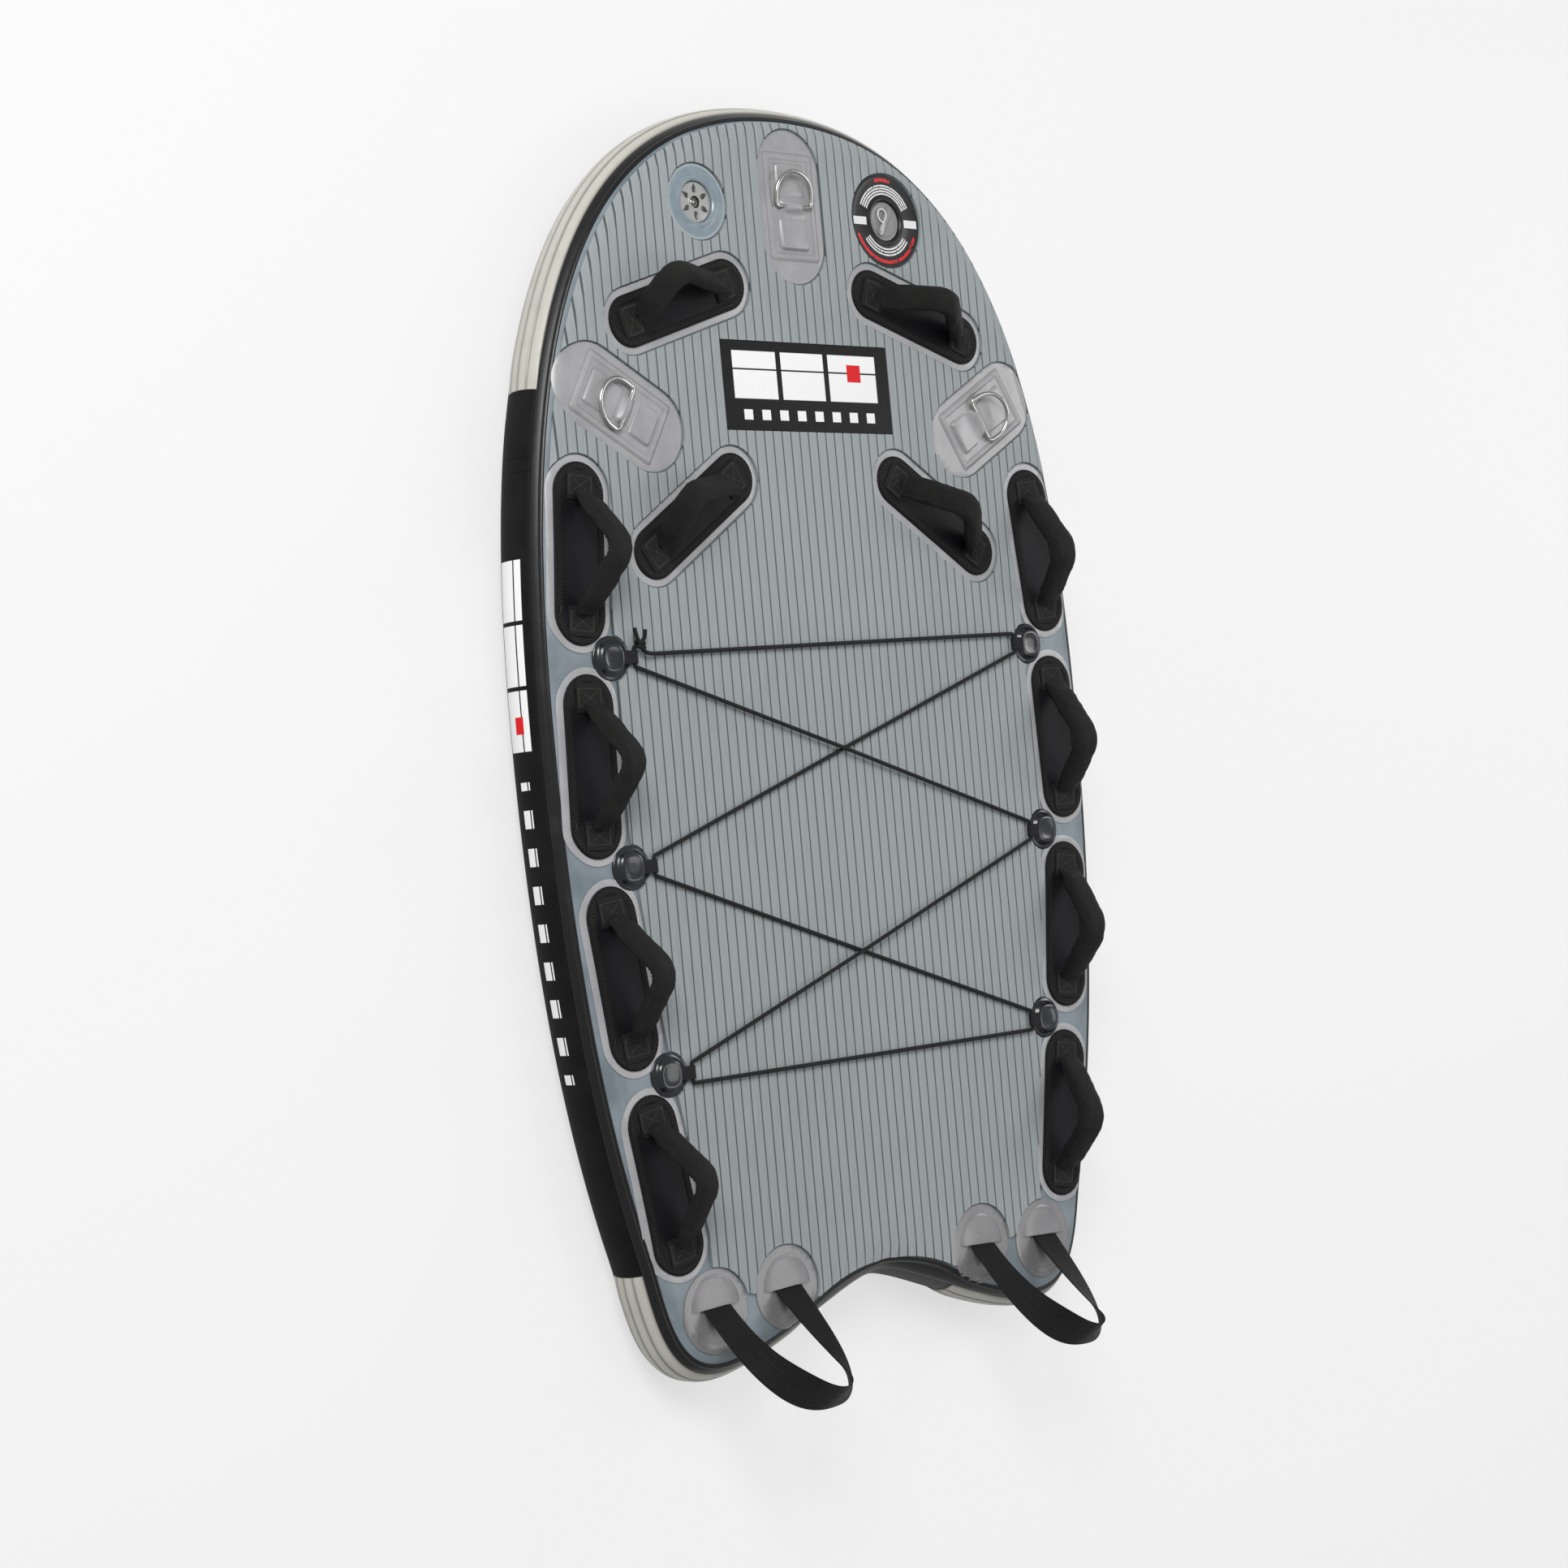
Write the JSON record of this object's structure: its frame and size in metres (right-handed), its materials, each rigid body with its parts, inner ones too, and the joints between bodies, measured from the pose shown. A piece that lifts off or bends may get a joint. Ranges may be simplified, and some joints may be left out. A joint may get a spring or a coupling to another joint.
{
  "type": "watercraft rescue sled",
  "caption": "Flat inflatable rescue sled with a ribbed deck pad, padded grab handles, tow rings, laced elastic cord, two valves and webbing tail straps.",
  "frame": {"origin": "on the ground under the middle of the sled, which lies flat with its deck up", "axes": "+Y towards the nose, +X to the right seen from above, +Z out of the deck"},
  "size_m": [1.1072, 1.8882, 0.2482],
  "materials": {
    "deck_pvc": "satin",
    "wall_pvc": "satin",
    "tape_pvc": "satin",
    "band_pvc": "satin",
    "strake_pvc": "satin",
    "core_cloth": "matte",
    "handle_cloth": "matte",
    "sleeve_cloth": "matte",
    "patch_pvc": "satin",
    "ring_steel": "polished",
    "anchor_rubber": "gloss",
    "cord_cloth": "matte",
    "strap_web": "matte",
    "relief_plastic": "satin",
    "poppet_plastic": "satin",
    "label_plastic": "satin",
    "cap_plastic": "satin",
    "pad_foam": "matte",
    "badge_foam": "matte"
  },
  "bodies": {
    "root": {"deck_skin": "deck_pvc", "bottom_skin": "wall_pvc", "side_wall": "wall_pvc", "rail_tape_upper": "tape_pvc", "rail_tape_lower": "tape_pvc", "side_band_right": "band_pvc", "side_band_left": "band_pvc", "nose_strake": "strake_pvc", "tail_strake_right": "strake_pvc", "tail_strake_left": "strake_pvc", "drop_stitch_core": "core_cloth", "handle_base_side_right_1": "handle_cloth", "handle_base_side_left_1": "handle_cloth", "handle_base_side_right_2": "handle_cloth", "handle_base_side_left_2": "handle_cloth", "handle_base_side_right_3": "handle_cloth", "handle_base_side_left_3": "handle_cloth", "handle_base_side_right_4": "handle_cloth", "handle_base_side_left_4": "handle_cloth", "handle_base_upper_right": "handle_cloth", "handle_base_upper_left": "handle_cloth", "handle_base_lower_right": "handle_cloth", "handle_base_lower_left": "handle_cloth", "tow_patch_nose": "patch_pvc", "tow_patch_right": "patch_pvc", "tow_patch_left": "patch_pvc", "cord_anchor_right_1": "anchor_rubber", "cord_anchor_left_1": "anchor_rubber", "cord_anchor_right_2": "anchor_rubber", "cord_anchor_left_2": "anchor_rubber", "cord_anchor_right_3": "anchor_rubber", "cord_anchor_left_3": "anchor_rubber", "bungee_cord": "cord_cloth", "strap_disc_right_outer": "patch_pvc", "strap_disc_right_inner": "patch_pvc", "strap_disc_left_outer": "patch_pvc", "strap_disc_left_inner": "patch_pvc", "relief_valve_body": "relief_plastic", "inflation_valve_body": "label_plastic", "deck_pad": "pad_foam", "badge_panel": "badge_foam"},
    "grip_side_right_1": {"handle_grip_side_right_1": "sleeve_cloth"},
    "grip_side_left_1": {"handle_grip_side_left_1": "sleeve_cloth"},
    "grip_side_right_2": {"handle_grip_side_right_2": "sleeve_cloth"},
    "grip_side_left_2": {"handle_grip_side_left_2": "sleeve_cloth"},
    "grip_side_right_3": {"handle_grip_side_right_3": "sleeve_cloth"},
    "grip_side_left_3": {"handle_grip_side_left_3": "sleeve_cloth"},
    "grip_side_right_4": {"handle_grip_side_right_4": "sleeve_cloth"},
    "grip_side_left_4": {"handle_grip_side_left_4": "sleeve_cloth"},
    "grip_upper_right": {"handle_grip_upper_right": "sleeve_cloth"},
    "grip_upper_left": {"handle_grip_upper_left": "sleeve_cloth"},
    "grip_lower_right": {"handle_grip_lower_right": "sleeve_cloth"},
    "grip_lower_left": {"handle_grip_lower_left": "sleeve_cloth"},
    "ring_nose": {"tow_ring_nose": "ring_steel"},
    "ring_left": {"tow_ring_left": "ring_steel"},
    "ring_right": {"tow_ring_right": "ring_steel"},
    "strap_left": {"tail_strap_left": "strap_web"},
    "strap_right": {"tail_strap_right": "strap_web"},
    "poppet": {"relief_poppet": "poppet_plastic"},
    "valve_cap": {"inflation_cap": "cap_plastic"}
  },
  "joints": [
    {"name": "grip_side_right_1_swing", "type": "hinge", "parent": "root", "child": "grip_side_right_1", "pos_m": [0.4632, 0.27567, 0.1131], "axis": [0.0928, -0.9957, 0], "range_deg": [-67, 43], "stiffness_Nm_per_rad": 1},
    {"name": "grip_side_left_1_swing", "type": "hinge", "parent": "root", "child": "grip_side_left_1", "pos_m": [-0.4632, 0.27567, 0.1131], "axis": [-0.0928, -0.9957, 0], "range_deg": [-43, 67], "stiffness_Nm_per_rad": 1},
    {"name": "grip_side_right_2_swing", "type": "hinge", "parent": "root", "child": "grip_side_right_2", "pos_m": [0.4735, -0.01968, 0.1131], "axis": [0.0271, -0.9996, 0], "range_deg": [-67, 43], "stiffness_Nm_per_rad": 1},
    {"name": "grip_side_left_2_swing", "type": "hinge", "parent": "root", "child": "grip_side_left_2", "pos_m": [-0.4735, -0.01968, 0.1131], "axis": [-0.0271, -0.9996, 0], "range_deg": [-43, 67], "stiffness_Nm_per_rad": 1},
    {"name": "grip_side_right_3_swing", "type": "hinge", "parent": "root", "child": "grip_side_right_3", "pos_m": [0.4538, -0.31473, 0.1131], "axis": [-0.1182, -0.993, 0], "range_deg": [-67, 43], "stiffness_Nm_per_rad": 1},
    {"name": "grip_side_left_3_swing", "type": "hinge", "parent": "root", "child": "grip_side_left_3", "pos_m": [-0.4538, -0.31473, 0.1131], "axis": [0.1182, -0.993, 0], "range_deg": [-43, 67], "stiffness_Nm_per_rad": 1},
    {"name": "grip_side_right_4_swing", "type": "hinge", "parent": "root", "child": "grip_side_right_4", "pos_m": [0.40965, -0.60673, 0.1131], "axis": [-0.1708, -0.9853, 0], "range_deg": [-67, 43], "stiffness_Nm_per_rad": 1},
    {"name": "grip_side_left_4_swing", "type": "hinge", "parent": "root", "child": "grip_side_left_4", "pos_m": [-0.40965, -0.60673, 0.1131], "axis": [0.1708, -0.9853, 0], "range_deg": [-43, 67], "stiffness_Nm_per_rad": 1},
    {"name": "grip_upper_right_swing", "type": "hinge", "parent": "root", "child": "grip_upper_right", "pos_m": [0.24125, 0.63532, 0.1131], "axis": [-0.9497, 0.3132, 0], "range_deg": [-64, 46], "stiffness_Nm_per_rad": 1},
    {"name": "grip_upper_left_swing", "type": "hinge", "parent": "root", "child": "grip_upper_left", "pos_m": [-0.24125, 0.63532, 0.1131], "axis": [0.9497, 0.3132, 0], "range_deg": [-13, 97], "stiffness_Nm_per_rad": 1},
    {"name": "grip_lower_right_swing", "type": "hinge", "parent": "root", "child": "grip_lower_right", "pos_m": [0.246, 0.32907, 0.1131], "axis": [-0.8312, 0.5559, 0], "range_deg": [-56, 54], "stiffness_Nm_per_rad": 1},
    {"name": "grip_lower_left_swing", "type": "hinge", "parent": "root", "child": "grip_lower_left", "pos_m": [-0.246, 0.32907, 0.1131], "axis": [0.8312, 0.5559, 0], "range_deg": [-13, 97], "stiffness_Nm_per_rad": 1},
    {"name": "ring_nose_swing", "type": "hinge", "parent": "root", "child": "ring_nose", "pos_m": [0, 0.78957, 0.1089], "axis": [1, 0, 0], "range_deg": [-8, 166]},
    {"name": "ring_left_swing", "type": "hinge", "parent": "root", "child": "ring_left", "pos_m": [-0.35957, 0.47757, 0.1089], "axis": [0.5, 0.866, 0], "range_deg": [-4, 170]},
    {"name": "ring_right_swing", "type": "hinge", "parent": "root", "child": "ring_right", "pos_m": [0.35957, 0.47757, 0.1089], "axis": [0.5, -0.866, 0], "range_deg": [-16, 158]},
    {"name": "strap_left_swing", "type": "hinge", "parent": "root", "child": "strap_left", "pos_m": [-0.2698, -0.78523, 0.1066], "axis": [0.999, 0.0452, 0], "range_deg": [-49, 25], "stiffness_Nm_per_rad": 2},
    {"name": "strap_right_swing", "type": "hinge", "parent": "root", "child": "strap_right", "pos_m": [0.2698, -0.78523, 0.1066], "axis": [0.999, -0.0452, 0], "range_deg": [-49, 25], "stiffness_Nm_per_rad": 2},
    {"name": "poppet_press", "type": "slide", "parent": "root", "child": "poppet", "axis": [0, 0, 1], "range_m": [-0.003, 0], "stiffness_N_per_m": 400, "springref_m": 0.002},
    {"name": "cap_turn", "type": "hinge", "parent": "root", "child": "valve_cap", "pos_m": [0.196, 0.78207, 0.0969], "axis": [0, 0, 1], "range_deg": [0, 90]}
  ]
}
